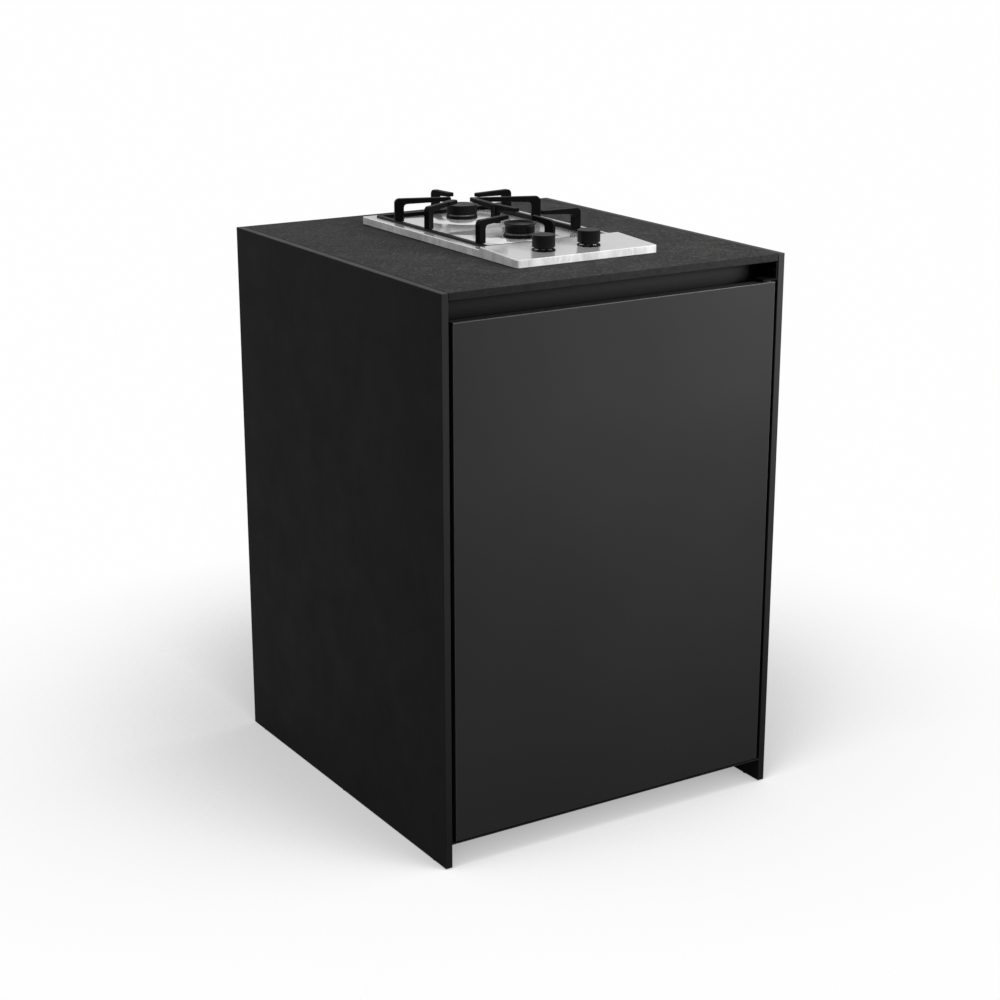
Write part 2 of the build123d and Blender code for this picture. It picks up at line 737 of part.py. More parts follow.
def clamp_screws():
    """Screws that press the clamps against the worktop's underside."""
    screws = []
    for side, y in clamp_sides():
        x = side * (HOB_WIDTH / 2 - BOX_INSET + CLAMP_REACH - 7)
        shank = rod(x, y, (CLAMP_LOW - 8, -WORKTOP), CLAMP_SCREW)
        head = Pos(x, y, CLAMP_LOW - 11) * extrude(RegularPolygon(4.6, 6), 3)
        screws.append(shank + head)
    return screws


# Burners

def burner_cup(name):
    """The fixed cup under the sheet, whose flange is the dark ring round the burner."""
    cup = turned([
        (0, CUP_LOW), (CUP_RADIUS, CUP_LOW), (CUP_RADIUS, DOME_TOP), (CUP_FLANGE, DOME_TOP),
        (CUP_FLANGE, CUP_TOP - 1), (CUP_FLANGE - 1, CUP_TOP), (CUP_BORE, CUP_TOP),
        (CUP_BORE, CUP_LOW + 6), (0, CUP_LOW + 6),
    ])
    cup -= rod(0, 0, (CUP_LOW, CUP_LOW + 6), INJECTOR_RADIUS)
    for angle, radius in ((IGNITER_ANGLE, 2.4), (THERMOCOUPLE_ANGLE, 2.6)):
        lug = block((CUP_BORE + 2, PROBE_ORBIT + 5), (-5, 5), (-9, -6))
        cup += Rot(0, 0, angle) * (lug - rod(PROBE_ORBIT, 0, (-9, -6), radius))
    return Pos(*BURNERS[name]) * cup


INJECTOR_RADIUS = 4.0
INJECTOR_TOP = -6.0


def injectors():
    """Brass gas jets in the bottoms of the cups."""
    jet = rod(0, 0, (CUP_LOW, INJECTOR_TOP), INJECTOR_RADIUS)
    jet += Pos(0, 0, CUP_LOW + 6) * extrude(RegularPolygon(5.5, 6), 2.5)
    jet -= rod(0, 0, (CUP_LOW, INJECTOR_TOP - 2), 1.5)
    return [Pos(*place) * jet for place in BURNERS.values()]


def burner_crown(name):
    """The loose aluminium flame ring, slotted all round, with its mixing tube."""
    crown = turned([
        (6, -2), (8, -2), (8, CUP_TOP - 4), (17.5, CUP_TOP - 4), (19.7, CUP_TOP - 4), (19.7, CUP_TOP),
        (CROWN_RADIUS, CUP_TOP), (CROWN_RADIUS, CROWN_TOP), (21, CROWN_TOP), (21, CROWN_FLOOR),
        (6, CROWN_FLOOR),
    ])
    port = block((20.5, CROWN_RADIUS + 1), (-0.8, 0.8), (CROWN_FLOOR + 0.3, CROWN_TOP))
    for number in range(PORTS):
        crown -= Rot(0, 0, number * 360 / PORTS) * port
    return Pos(*BURNERS[name]) * crown


def rear_cap():
    """The flat enamelled cap of the rear burner."""
    radius = 25.7
    cap = turned([
        (0, CROWN_TOP), (16, CROWN_TOP), (16, CROWN_TOP - CAP_PLUG), (20.6, CROWN_TOP - CAP_PLUG),
        (20.6, CROWN_TOP), (radius, CROWN_TOP), (radius, CAP_TOP), (0, CAP_TOP),
    ])
    cap = fillet(cap.faces().sort_by(Axis.Z)[-1].edges(), 1.4)
    return Pos(*BURNERS["rear"]) * cap


def front_cap():
    """The dished cap of the front burner, its rim flared outwards."""
    cap = turned([
        (0, CROWN_TOP), (16, CROWN_TOP), (16, CROWN_TOP - CAP_PLUG), (20.6, CROWN_TOP - CAP_PLUG),
        (20.6, CROWN_TOP), (24, CROWN_TOP), (24, CAP_TOP - 4.5), (26.2, CAP_TOP - 1.2),
        (26.2, CAP_TOP), (24.8, CAP_TOP), (22.4, CAP_TOP - 3), (0, CAP_TOP - 3),
    ])
    return Pos(*BURNERS["front"]) * cap


def igniters():
    """Spark electrodes: a white ceramic sleeve with a steel tip."""
    electrodes = []
    for name in BURNERS:
        x, y = probe_place(name, IGNITER_ANGLE)
        sleeve = rod(x, y, (-12, 20), 2.4)
        electrodes.append(sleeve + rod(x, y, (20, 23.5), 0.8) + rod(x, y, (-16, -12), LEAD_RADIUS))
    return electrodes


def thermocouples():
    """Flame sensors beside the burners, with their lower threaded sleeves."""
    probes = []
    for name in BURNERS:
        x, y = probe_place(name, THERMOCOUPLE_ANGLE)
        probes.append(rod(x, y, (-16, 22), 1.5) + rod(x, y, (-12, 6), 2.6))
    return probes


# Valves, knobs and gas line

def gas_valve(name):
    """A taper-plug gas valve with its neck, back outlet and front saddle on the manifold."""
    x, y = KNOBS[name]
    body = block((x - 12, x + 12), (VALVE_FRONT, VALVE_BACK), (VALVE_LOW, VALVE_TOP))
    body = chamfer(body.edges().filter_by(Axis.Z), 3.0)
    body += rod(x, y, (VALVE_TOP, NECK_TOP), 9.5)
    body += rod_y(x, (VALVE_BACK, VALVE_BACK + 8), PIPE_Z, 5.0)
    body -= rod_y(x, (VALVE_BACK + 2, VALVE_BACK + 8), PIPE_Z, PIPE_RADIUS)
    return body - rod(x, y, (STEM_LOW - 4, NECK_TOP), STEM_RADIUS + RUNNING)


def valve_stem(name):
    """The valve's spindle, with the shoulder that presses on the spring seat."""
    x, y = KNOBS[name]
    stem = rod(x, y, (STEM_LOW, STEM_TOP), STEM_RADIUS)
    return stem + rod(x, y, (SHOULDER_LOW, SHOULDER_LOW + 1.4), 6.5)


def spring_seat(name):
    """The washer between the spring and the spindle's shoulder: it moves down but doesn't turn."""
    x, y = KNOBS[name]
    return rod(x, y, (SEAT_LOW, SEAT_TOP), 9.0) - rod(x, y, (SEAT_LOW, SEAT_TOP), STEM_RADIUS + RUNNING)


def valve_spring(name):
    """The return spring round the spindle."""
    height = SEAT_LOW - NECK_TOP - 2 * SPRING_WIRE - 0.1
    helix = Helix(SPRING_PITCH, height, SPRING_RADIUS)
    coil = sweep((helix ^ 0) * Circle(SPRING_WIRE), path=helix, is_frenet=True)
    return Pos(*KNOBS[name], NECK_TOP + SPRING_WIRE + 0.05) * coil


def knob(name):
    """A plain cylindrical knob with a waist, a pointer nub and a bore for the spindle."""
    body = rod(0, 0, (KNOB_LOW, KNOB_TOP), KNOB_RADIUS)
    body = fillet(body.edges().group_by(Axis.Z)[-1], 0.9)
    body += rod(0, 0, (WAIST_LOW, KNOB_LOW), WAIST_RADIUS)
    nub = block((KNOB_RADIUS - 1, KNOB_RADIUS + 1.2), (-1.5, 1.5), (KNOB_TOP - 4.5, KNOB_TOP - 1.5))
    body += fillet(nub.edges().filter_by(Axis.Z), 0.5)
    body -= rod(0, 0, (WAIST_LOW, STEM_TOP + 0.3), STEM_RADIUS)
    return Pos(*KNOBS[name]) * body


def knob_bezels():
    """Rings on the control panel that the knobs' waists dip into."""
    rings = []
    for x, y in KNOBS.values():
        ring = rod(x, y, (RIM, BEZEL_TOP), BEZEL_RADIUS)
        ring = chamfer(ring.edges().group_by(Axis.Z)[-1], 0.5)
        ring -= rod(x, y, (RIM, BEZEL_TOP), BEZEL_BORE)
        rings.append(ring - control_ramp(0, SKIRT_GAP))
    return rings


def gas_manifold():
    """The supply pipe past both valves and along the right wall to the inlet."""
    x, y = INLET
    route = [(-76, MANIFOLD_Y, MANIFOLD_Z), (x, MANIFOLD_Y, MANIFOLD_Z), (x, y - 12, MANIFOLD_Z)]
    return bar_along(route, MANIFOLD_RADIUS, 16.0)


def inlet_elbow():
    """The brass elbow whose threaded end stands below the underbox."""
    x, y = INLET
    elbow = block((x - 12, x + 12), (y - 12, y + 12), (BOX_LOW + HOB_SHEET, MANIFOLD_Z + 10))
    elbow = chamfer(elbow.edges().filter_by(Axis.Z), 3.0)
    elbow += rod(x, y, (INLET_LOW, BOX_LOW + HOB_SHEET), INLET_THREAD_RADIUS)
    elbow += Pos(x, y, BOX_LOW - 7) * extrude(RegularPolygon(16, 6), 7)
    return elbow - rod(x, y, (INLET_LOW, MANIFOLD_Z - 10), 6.0)


def burner_pipe(valve, burner, corner):
    """An aluminium pipe from a valve's outlet to the jet under a burner."""
    x, y = KNOBS[valve]
    end_x, end_y = BURNERS[burner]
    route = [(x, VALVE_BACK + 2, PIPE_Z), *corner, (end_x, end_y, PIPE_Z), (end_x, end_y, CUP_LOW)]
    return bar_along(route, PIPE_RADIUS, 9.0)


def ignition_module():
    """The spark generator on the underbox floor."""
    module = block((-104, -70), (250, 310), (BOX_LOW + 1, -36))
    return fillet(module.edges().filter_by(Axis.Z), 4.0)


def ignition_leads():
    """Insulated leads from the spark generator to both electrodes."""
    leads = []
    for name, start_y in (("front", 262.0), ("rear", 298.0)):
        x, y = probe_place(name, IGNITER_ANGLE)
        route = [(-70, start_y, LEAD_Z), (x, start_y, LEAD_Z), (x, y, LEAD_Z), (x, y, -16)]
        leads.append(bar_along(route, LEAD_RADIUS, 8.0))
    return leads


# Cast grate

def finger(start, end, low, drop=0.0):
    """An L-shaped cast plate: a leg that stands at a height and an arm that reaches to a tip.

    The arm's outer corner lies below the tip by the drop.
    """
    reach_x = end[0] - start[0]
    reach_y = end[1] - start[1]
    length = hypot(reach_x, reach_y)
    inner_top = GRATE_TOP - ARM - drop * (1 - LEG / length)
    outline = FilletPolyline(
        (0, low), (0, GRATE_TOP - drop), (length, GRATE_TOP), (length, GRATE_TOP - ARM * 0.7),
        (LEG, inner_top), (LEG, low),
        radius=[0, OUTER_BEND, 2.0, 2.0, INNER_BEND, 0], close=True,
    )
    plane = Plane(origin=(*start, 0), x_dir=(reach_x, reach_y, 0), z_dir=(reach_y, -reach_x, 0))
    plate = extrude(plane * make_face(outline), FINGER / 2, both=True)
    sides = plate.faces().filter_by(lambda face: abs(face.normal_at().dot(plane.z_dir)) > 0.99)
    return fillet(sides.edges(), CAST_EDGE)


POST_INSET = 2.0
POST_LEFT = -GRATE_SIDE + POST_INSET
POST_RIGHT = GRATE_SIDE - POST_INSET
VEE_TIP = (5.0, 351.0)
CENTRE_LEG = (1.0, 273.0)
CENTRE_TIP = (7.0, 216.0)
PADDLE_TIP = (-32.0, 348.0)
PADDLE_LENGTH = 32.0
PADDLE_WIDTH = 14.0
PADDLE_THICK = 6.0
PADDLE_OVERHANG = 2.0

# Start, tip and drop of each finger on the frame
FINGERS = (
    ((POST_LEFT, 410.0), (-22.0, 377.0), 0.0),
    ((POST_LEFT, 304.0), PADDLE_TIP, 0.0),
    ((POST_LEFT, 145.0), (-42.2, 169.5), 0.0),
    ((-2.0, GRATE_BACK - POST_INSET), (3.0, 416.6), 0.0),
    ((POST_RIGHT, 404.0), (36.0, 392.0), 0.0),
    ((POST_RIGHT, 308.0), VEE_TIP, 0.0),
    ((POST_RIGHT, 192.0), (28.0, 176.0), 4.0),
    ((12.0, GRATE_FRONT + POST_INSET), (-8.0, 146.8), 7.0),
)


def paddle(start, tip):
    """The flat, widened end of a finger."""
    angle = degrees(atan2(tip[1] - start[1], tip[0] - start[0]))
    outline = RectangleRounded(PADDLE_LENGTH, PADDLE_WIDTH, PADDLE_THICK)
    plate = Pos(0, 0, GRATE_TOP - PADDLE_THICK) * extrude(outline, PADDLE_THICK)
    plate = fillet(plate.faces().sort_by(Axis.Z)[-1].edges(), CAST_EDGE)
    back = PADDLE_OVERHANG - PADDLE_LENGTH / 2
    return Pos(*tip) * Rot(0, 0, angle) * Pos(back, 0) * plate


def grate():
    """The one-piece cast grate: a rectangular frame, its fingers and a vee on a centre leg."""
    width = 2 * GRATE_SIDE
    depth = GRATE_BACK - GRATE_FRONT
    frame = rounded(width, depth, 7.0, (BAR_LOW, BAR_TOP))
    frame = fillet(frame.faces().sort_by(Axis.Z)[-1].edges(), CAST_EDGE)
    frame -= rounded(width - 2 * BAR, depth - 2 * BAR, 4.0, (BAR_LOW, BAR_TOP))
    casting = Pos(0, (GRATE_FRONT + GRATE_BACK) / 2) * frame
    for start, end, drop in FINGERS:
        casting += finger(start, end, LEG_LOW, drop)
    casting += paddle(FINGERS[1][0], PADDLE_TIP)
    half = LEG / 2
    casting += finger((CENTRE_LEG[0], CENTRE_LEG[1] - half), VEE_TIP, CENTRE_LEG_LOW)
    casting += finger((CENTRE_LEG[0], CENTRE_LEG[1] + half), CENTRE_TIP, CENTRE_LEG_LOW)
    return casting + rod(*VEE_TIP, (GRATE_TOP - ARM * 0.7, GRATE_TOP), FINGER / 2)


def grate_feet():
    """Rubber feet between the grate's frame and the well's floor."""
    well = hob_form(0, SKIRT_GAP)
    x = GRATE_SIDE - BAR / 2
    places = [(side * x, y) for side in (-1, 1) for y in (WELL_FRONT + 22, WELL_BACK - 22)]
    return [rod(*place, (WELL_FLOOR - 1, BAR_LOW), 3.4) - well for place in places]


def build_cabinet():
    """Everything that stands still apart from the hob."""
    save("side_panel_left", side_panel(-1))
    save("side_panel_right", side_panel(1))
    save("floor_glides", *floor_glides())
    save("worktop", worktop())
    save("base_tray", base_tray())
    save("base_panel", base_panel())
    save("back_panel", back_panel())
    save("hose_grommet", hose_grommet())
    save("front_rail", rail(*RAIL_BRACKETS[0]))
    save("rear_rail", rear_rail())
    save("grip_channel", grip_channel())
    save("worktop_cleats", *worktop_cleats())
    save("corner_brackets", *corner_brackets())
    save("cabinet_screws", *bracket_screws(), *back_screws(), *catch_screws(), *hinge_screws())
    save("shelf", shelf())
    save("shelf_pins", *shelf_pins())
    save("magnet_catch", magnet_catch())
    save("catch_magnet", catch_magnet())
    save("door_buffers", *door_buffers())
    save("hinge_bracket", hinge_bracket())
    save("pivot_pins", *pivot_pins())
    save("pivot_washers", *pivot_washers())


def build_door():
    """The pieces that swing with the door."""
    save("door_skin", door_skin())
    save("door_core", door_filling(DOOR_SHEET, DOOR_THICK - DOOR_SHEET))
    save("door_back_sheet", door_filling(DOOR_THICK - DOOR_SHEET, DOOR_THICK))
    save("door_bushes", *door_bushes())
    save("strike_plate", strike_plate())


def build_hob():
    """The hob's fixed pieces."""
    save_on_hob("hob_top", hob_top())
    save_on_hob("hob_seal", hob_seal())
    save_on_hob("hob_underbox", underbox())
    save_on_hob("hob_clamps", *hob_clamps())
    save_on_hob("clamp_screws", *clamp_screws())
    save_on_hob("knob_bezels", *knob_bezels())
    save_on_hob("injectors", *injectors())
    save_on_hob("igniters", *igniters())
    save_on_hob("thermocouples", *thermocouples())
    save_on_hob("gas_manifold", gas_manifold())
    save_on_hob("inlet_elbow", inlet_elbow())
    save_on_hob("ignition_module", ignition_module())
    save_on_hob("ignition_leads", *ignition_leads())
    front_route = [(KNOBS["left"][0], 130, PIPE_Z)]
    rear_route = [(KNOBS["right"][0], 92, PIPE_Z), (56, 130, PIPE_Z), (56, 320, PIPE_Z)]
    save_on_hob("burner_pipe_front", burner_pipe("left", "front", front_route))
    save_on_hob("burner_pipe_rear", burner_pipe("right", "rear", rear_route))


def build_burners():
    """Cups, loose crowns and loose caps."""
    save_on_hob("burner_cups", *[burner_cup(name) for name in BURNERS])
    for name in BURNERS:
        save_on_hob(f"burner_crown_{name}", burner_crown(name))
    save_on_hob("burner_cap_front", front_cap())
    save_on_hob("burner_cap_rear", rear_cap())


def build_controls():
    """Valves, spindles, springs and knobs."""
    save_on_hob("gas_valves", *[gas_valve(name) for name in KNOBS])
    for name in KNOBS:
        save_on_hob(f"valve_stem_{name}", valve_stem(name))
        save_on_hob(f"spring_seat_{name}", spring_seat(name))
        save_on_hob(f"valve_spring_{name}", valve_spring(name))
        save_on_hob(f"knob_{name}", knob(name))


def build_grate():
    """The loose grate and its feet."""
    save_on_hob("grate", grate())
    save_on_hob("grate_feet", *grate_feet())


os.makedirs("parts", exist_ok=True)
build_cabinet()
build_door()
build_hob()
build_burners()
build_controls()
build_grate()
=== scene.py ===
import math
import bpy
from mathutils import Euler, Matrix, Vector

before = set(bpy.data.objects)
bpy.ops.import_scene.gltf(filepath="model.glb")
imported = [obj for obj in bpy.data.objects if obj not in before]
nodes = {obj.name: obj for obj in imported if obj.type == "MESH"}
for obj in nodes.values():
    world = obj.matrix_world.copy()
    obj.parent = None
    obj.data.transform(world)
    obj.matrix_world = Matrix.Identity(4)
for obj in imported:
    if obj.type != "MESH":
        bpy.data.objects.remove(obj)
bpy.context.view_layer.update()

# Looks of the outdoor kitchen side burner module: procedural materials for every CAD node,
# a pale floor, soft studio light and the photograph's camera. Lengths are in metres.


# Camera, from a fit to the cabinet's visible corners

CAMERA_PLACE = (-1.7466, -2.7945, 1.4635)
CAMERA_TURN = (73.03, 0.0, -31.98)
CAMERA_REACH = 200.0
LENS = 73.54
SENSOR = 36.0


def add_to_scene(item):
    bpy.context.scene.collection.objects.link(item)


def add_camera():
    data = bpy.data.cameras.new("camera")
    data.lens = LENS
    data.sensor_width = SENSOR
    data.clip_end = CAMERA_REACH
    camera = bpy.data.objects.new("camera", data)
    camera.location = CAMERA_PLACE
    camera.rotation_euler = Euler([math.radians(turn) for turn in CAMERA_TURN])
    add_to_scene(camera)
    bpy.context.scene.camera = camera


# Node graphs

# The values between which most of a noise lies
NOISE_SPAN = (0.3, 0.7)
# The share, first and second sockets of a mix of colours and of a mix of numbers
COLOUR_SOCKETS = (0, 6, 7)
NUMBER_SOCKETS = (0, 2, 3)


def grey(value):
    return (value, value, value)


class Graph:
    """A node tree, with short calls for the nodes that the looks use."""

    def __init__(self, owner, output_kind):
        owner.use_nodes = True
        self.owner = owner
        self.tree = owner.node_tree
        self.tree.nodes.clear()
        self.output = self.add(output_kind)

    def add(self, kind, **values):
        node = self.tree.nodes.new(kind)
        for key, value in values.items():
            setattr(node, key, value)
        return node

    def link(self, source, target):
        self.tree.links.new(source, target)

    def feed(self, value, socket):
        """Give a socket a number, a colour or another node's output."""
        if isinstance(value, (int, float)):
            socket.default_value = value
        elif isinstance(value, tuple):
            socket.default_value = (*value, 1.0)
        else:
            self.link(value, socket)

    def coords(self, scale=(1.0, 1.0, 1.0)):
        """Places in the object's own frame, stretched along its axes."""
        place = self.add("ShaderNodeTexCoord")
        mapping = self.add("ShaderNodeMapping")
        mapping.inputs["Scale"].default_value = scale
        self.link(place.outputs["Object"], mapping.inputs["Vector"])
        return mapping.outputs["Vector"]

    def noise(self, scale, detail, rough, at=None, distort=0.0):
        node = self.add("ShaderNodeTexNoise")
        node.inputs["Scale"].default_value = scale
        node.inputs["Detail"].default_value = detail
        node.inputs["Roughness"].default_value = rough
        node.inputs["Distortion"].default_value = distort
        self.link(self.coords() if at is None else at, node.inputs["Vector"])
        return node.outputs["Fac"]

    def cells(self, scale):
        """The distance from the middle of the nearest cell of many."""
        node = self.add("ShaderNodeTexVoronoi")
        node.inputs["Scale"].default_value = scale
        self.link(self.coords(), node.inputs["Vector"])
        return node.outputs["Distance"]

    def ramp(self, source, stops):
        """A colour or a grey against a number, from stops of place and value."""
        node = self.add("ShaderNodeValToRGB")
        elements = node.color_ramp.elements
        while len(elements) < len(stops):
            elements.new(0.5)
        for element, (place, value) in zip(elements, stops):
            element.position = place
            element.color = (*(value if isinstance(value, tuple) else grey(value)), 1.0)
        self.link(source, node.inputs["Fac"])
        return node.outputs["Color"]

    def tones(self, source, dark, light, span=NOISE_SPAN):
        """From dark to light as a number crosses a span."""
        return self.ramp(source, [(span[0], dark), (span[1], light)])

    def remap(self, source, low, high, span=(0.0, 1.0)):
        """A number's span carried over to low to high, and held at both ends."""
        node = self.add("ShaderNodeMapRange")
        node.inputs["From Min"].default_value = span[0]
        node.inputs["From Max"].default_value = span[1]
        node.inputs["To Min"].default_value = low
        node.inputs["To Max"].default_value = high
        self.link(source, node.inputs["Value"])
        return node.outputs["Result"]

    def uneven(self, noise, low, high):
        """A roughness that wanders between two values with a noise."""
        return self.remap(noise, low, high, NOISE_SPAN)

    def combine(self, kind, first, second=0.0):
        node = self.add("ShaderNodeMath", operation=kind)
        self.feed(first, node.inputs[0])
        self.feed(second, node.inputs[1])
        return node.outputs["Value"]

    def mix(self, share, first, second):
        node = self.add("ShaderNodeMix", data_type="RGBA")
        for key, value in zip(COLOUR_SOCKETS, (share, first, second)):
            self.feed(value, node.inputs[key])
        return node.outputs[2]

    def choose(self, share, first, second):
        """The first number, or the second where the share is 1."""
        node = self.add("ShaderNodeMix", data_type="FLOAT")
        for key, value in zip(NUMBER_SOCKETS, (share, first, second)):
            self.feed(value, node.inputs[key])
        return node.outputs[0]

    def axis(self, source, name):
        split = self.add("ShaderNodeSeparateXYZ")
        self.link(source, split.inputs["Vector"])
        return split.outputs[name]

    def facing(self, axis, none, full):
        """A share from 0 to 1 as the normal's part along an axis goes from none to full."""
        normal = self.add("ShaderNodeNewGeometry").outputs["Normal"]
        size = self.combine("ABSOLUTE", self.axis(normal, axis))
        return self.remap(size, 0.0, 1.0, (none, full))

    def discs(self, centres, inner, outer):
        """A height of 1 round each centre, falling to 0 between two distances from it."""
        flat = self.coords((1.0, 1.0, 0.0))
        height = 0.0
        for x, y in centres:
            away = self.add("ShaderNodeVectorMath", operation="DISTANCE")
            self.link(flat, away.inputs[0])
            away.inputs[1].default_value = (x, y, 0.0)
            slope = self.remap(away.outputs["Value"], 1.0, 0.0, (inner, outer))
            height = self.combine("ADD", height, slope)
        return height

    def bump(self, height, strength, depth, under=None):
        """A normal tilted by a height, over another one if it is given."""
        node = self.add("ShaderNodeBump")
        node.inputs["Strength"].default_value = strength
        node.inputs["Distance"].default_value = depth
        self.link(height, node.inputs["Height"])
        if under is not None:
            self.link(under, node.inputs["Normal"])
        return node.outputs["Normal"]

    def shader(self, color, rough, normal, **settings):
        node = self.add("ShaderNodeBsdfPrincipled")
        for key, value in settings.items():
            node.inputs[key.replace("_", " ")].default_value = value
        for key, value in (("Base Color", color), ("Roughness", rough), ("Normal", normal)):
            self.feed(value, node.inputs[key])
        self.link(node.outputs["BSDF"], self.output.inputs["Surface"])
        return self.owner


def material_graph(name):
    return Graph(bpy.data.materials.new(name), "ShaderNodeOutputMaterial")


# Materials

LAMINATE_SPAN = (0.35, 0.65)
CLOUD_SHARE = 0.6
GRAIN_SHARE = 0.4


def laminate(name, dark, light, painted_lit_front_edge, painted_lit_top_edge, specular):
    """Matt compact laminate: a fine grain and faint clouds, with painted light: front edges and
    upward faces paler than the shaded side faces.
    """
    g = material_graph(name)
    clouds = g.noise(scale=5.0, detail=5.0, rough=0.6)
    grain = g.noise(scale=900.0, detail=3.0, rough=0.6)
    cloudy = g.combine("MULTIPLY", clouds, CLOUD_SHARE)
    grainy = g.combine("MULTIPLY", grain, GRAIN_SHARE)
    tone = g.combine("ADD", cloudy, grainy)
    faces = g.tones(tone, dark, light, LAMINATE_SPAN)
    # Painted light: faces not turned sideways take a paler front-edge tone, and upward faces a
    # paler grey still, for the light that falls on them.
    edges = g.tones(tone, 0.92 * painted_lit_front_edge, 1.08 * painted_lit_front_edge, LAMINATE_SPAN)
    color = g.mix(g.facing("X", none=0.9, full=0.3), faces, edges)
    color = g.mix(g.facing("Z", none=0.3, full=0.9), color, grey(painted_lit_top_edge))
    shine = g.uneven(g.noise(scale=14.0, detail=6.0, rough=0.65), 0.5, 0.62)
    normal = g.bump(grain, strength=0.12, depth=0.0003)
    return g.shader(color, shine, normal, Specular_IOR_Level=specular)


def powder(g, rough):
    """The pebbles of a powder coat, with their uneven roughness and their normal."""
    pebbles = g.noise(scale=650.0, detail=2.0, rough=0.5)
    shine = g.uneven(g.noise(scale=9.0, detail=5.0, rough=0.6), *rough)
    return pebbles, shine, g.bump(pebbles, strength=0.1, depth=0.0004)


def coated(name, dark, light, specular, painted_edge_highlight=None):
    """Powder-coated sheet, with a painted highlight, a paler tone on its rounded edges, where an
    edge highlight tone is given.
    """
    g = material_graph(name)
    color = g.tones(g.noise(scale=3.0, detail=4.0, rough=0.5), dark, light)
    if painted_edge_highlight is not None:
        # Painted highlight: the band of normals between the forward faces and the upright ones, the
        # rounded edges, takes the paler tone.
        turned = g.facing("Y", none=0.99, full=0.9)
        forward = g.facing("Y", none=0.05, full=0.2)
        color = g.mix(g.combine("MULTIPLY", turned, forward), color, grey(painted_edge_highlight))
    _, shine, normal = powder(g, rough=(0.42, 0.52))
    return g.shader(color, shine, normal, Specular_IOR_Level=specular)


# Painted shade of the finger recess against its height, from the bottom up to the slab: dark at the
# bottom, palest high up and a painted shadow line just under the slab
RECESS_PAINTED_SHADE = [(0.0, 0.0005), (0.35, 0.002), (0.6, 0.012), (0.8, 0.026), (0.91, 0.001)]
RECESS_PEBBLES = 0.002
RECESS_PEBBLE_SHARE = 0.2


def recess_coating(low, high):
    """Coated profile behind the door's top edge, with painted shade: darker towards the bottom and
    a painted shadow line under the slab.
    """
    g = material_graph("recess_coating")
    height = g.remap(g.axis(g.coords(), "Z"), 0.0, 1.0, (low, high))
    pebbles, shine, normal = powder(g, rough=(0.5, 0.6))
    share = g.remap(pebbles, 0.0, RECESS_PEBBLE_SHARE)
    color = g.mix(share, g.ramp(height, RECESS_PAINTED_SHADE), grey(RECESS_PEBBLES))
    return g.shader(color, shine, normal, Specular_IOR_Level=0.05)


STONE_DARK = (0.0102, 0.0102, 0.0101)
STONE_LIGHT = (0.03, 0.0298, 0.0293)
STONE_BLOTCH = (0.085, 0.084, 0.082)
STONE_PIT = (0.008, 0.008, 0.008)
STONE_PALE_SPECK = (0.16, 0.159, 0.156)
STONE_DARK_SPECK = (0.003, 0.003, 0.003)
STONE_SAWN_DARK = (0.0085, 0.0085, 0.0085)
STONE_SAWN_LIGHT = (0.018, 0.018, 0.0177)


def stone():
    """Dark satin stone: cloudy ground, pale blotches, fine specks and plain sawn sides."""
    g = material_graph("dark_stone")
    clouds = g.noise(scale=14.0, detail=9.0, rough=0.75, distort=0.9)
    blotches = g.noise(scale=55.0, detail=6.0, rough=0.7, distort=0.6)
    pits = g.noise(scale=48.0, detail=6.0, rough=0.7, distort=0.6)
    grain = g.noise(scale=190.0, detail=4.0, rough=0.75)
    color = g.tones(clouds, STONE_DARK, STONE_LIGHT, span=(0.32, 0.68))
    color = g.mix(g.tones(blotches, 0.0, 0.5, span=(0.52, 0.72)), color, STONE_BLOTCH)
    color = g.mix(g.tones(pits, 0.7, 0.0, span=(0.3, 0.45)), color, STONE_PIT)
    color = g.mix(g.tones(grain, 0.0, 0.85, span=(0.55, 0.7)), color, STONE_PALE_SPECK)
    color = g.mix(g.tones(grain, 0.85, 0.0, span=(0.3, 0.46)), color, STONE_DARK_SPECK)
    sawn = g.mix(g.tones(grain, 0.0, 1.0), STONE_SAWN_DARK, STONE_SAWN_LIGHT)
    color = g.mix(g.facing("Z", none=0.97, full=0.72), color, sawn)
    waves = g.bump(clouds, strength=0.1, depth=0.002)
    normal = g.bump(grain, strength=0.25, depth=0.0006, under=waves)
    return g.shader(color, g.uneven(grain, 0.62, 0.8), normal, Specular_IOR_Level=0.08)


# Stretch of a noise along a sheet's strokes and down its folds
STROKES = (3.0, 500.0, 500.0)
DRAWN_STREAKS = (26.0, 26.0, 9.0)
FOLD_ROUGHER = 0.35
# The swell's distances from a burner's middle, and its height
SWELL_INNER = 0.029
SWELL_OUTER = 0.066
SWELL_HEIGHT = 0.007


